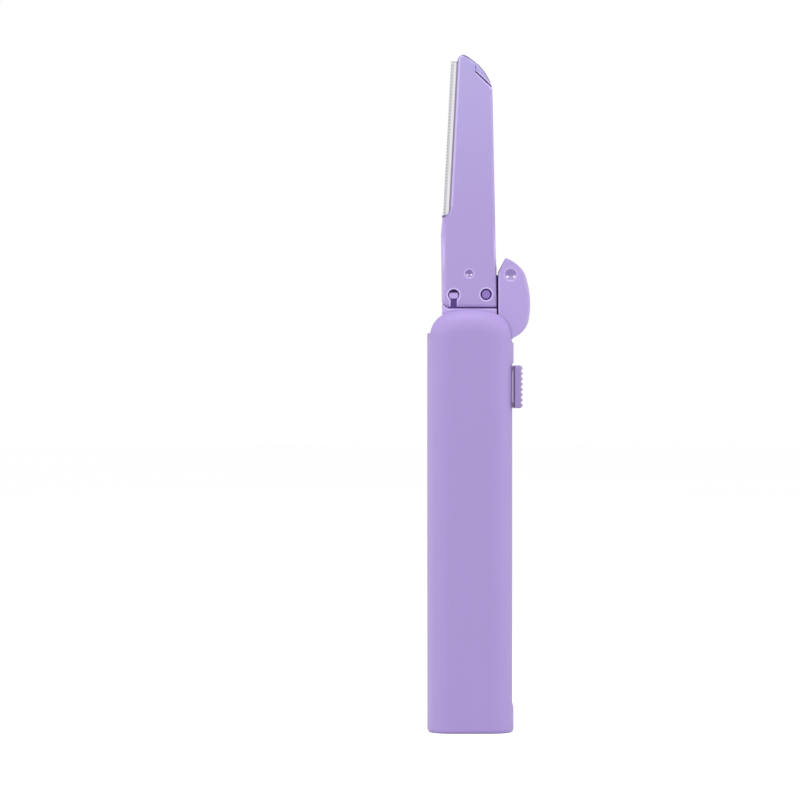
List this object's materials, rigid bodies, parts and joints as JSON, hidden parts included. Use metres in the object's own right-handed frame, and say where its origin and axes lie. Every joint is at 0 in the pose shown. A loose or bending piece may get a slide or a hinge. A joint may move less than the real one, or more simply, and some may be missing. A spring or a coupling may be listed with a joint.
{
  "type": "eyebrow razor",
  "caption": "Slim sliding eyebrow razor shown open: a flat blade cartridge with a comb guard stands out of a rounded case with a side thumb slider and a sprung flip lid.",
  "frame": {"origin": "centre of the flat end of the case", "axes": "+Z along the case from its flat end to the cartridge's tip, -Y out of the front face that shows the peg holes, +X to the side of the thumb slider and the lid's hinge"},
  "size_m": [0.0257, 0.0124, 0.1692],
  "materials": {
    "case_plastic": "satin",
    "lid_plastic": "satin",
    "cartridge_plastic": "satin",
    "carriage_plastic": "satin",
    "blade_steel": "bright",
    "guard_steel": "bright",
    "spring_steel": "plain"
  },
  "bodies": {
    "case": {"front_shell": "case_plastic", "back_shell": "case_plastic", "hinge_pin": "spring_steel", "lid_spring": "spring_steel"},
    "lid": {"lid": "lid_plastic"},
    "slider": {"carriage": "carriage_plastic", "thumb_slider": "case_plastic", "detent_leaf": "spring_steel", "cartridge_front": "cartridge_plastic", "cartridge_back": "cartridge_plastic", "blade": "blade_steel", "blade_guard": "guard_steel"},
    "lock": {"lock_finger": "carriage_plastic"}
  },
  "joints": [
    {"name": "blade_slide", "type": "slide", "parent": "case", "child": "slider", "axis": [0, 0, 1], "range_m": [-0.074, 0]},
    {"name": "lid_hinge", "type": "hinge", "parent": "case", "child": "lid", "pos_m": [0.0089, 0, 0.09945], "axis": [0, 1, 0], "range_deg": [0, 8], "stiffness_Nm_per_rad": 0.00006, "springref_deg": -85},
    {"name": "lock_flex", "type": "hinge", "parent": "slider", "child": "lock", "pos_m": [0.0039, -0.0002, 0.1163], "axis": [1, 0, 0], "range_deg": [0, 5], "stiffness_Nm_per_rad": 0.0005, "springref_deg": -2.86}
  ]
}
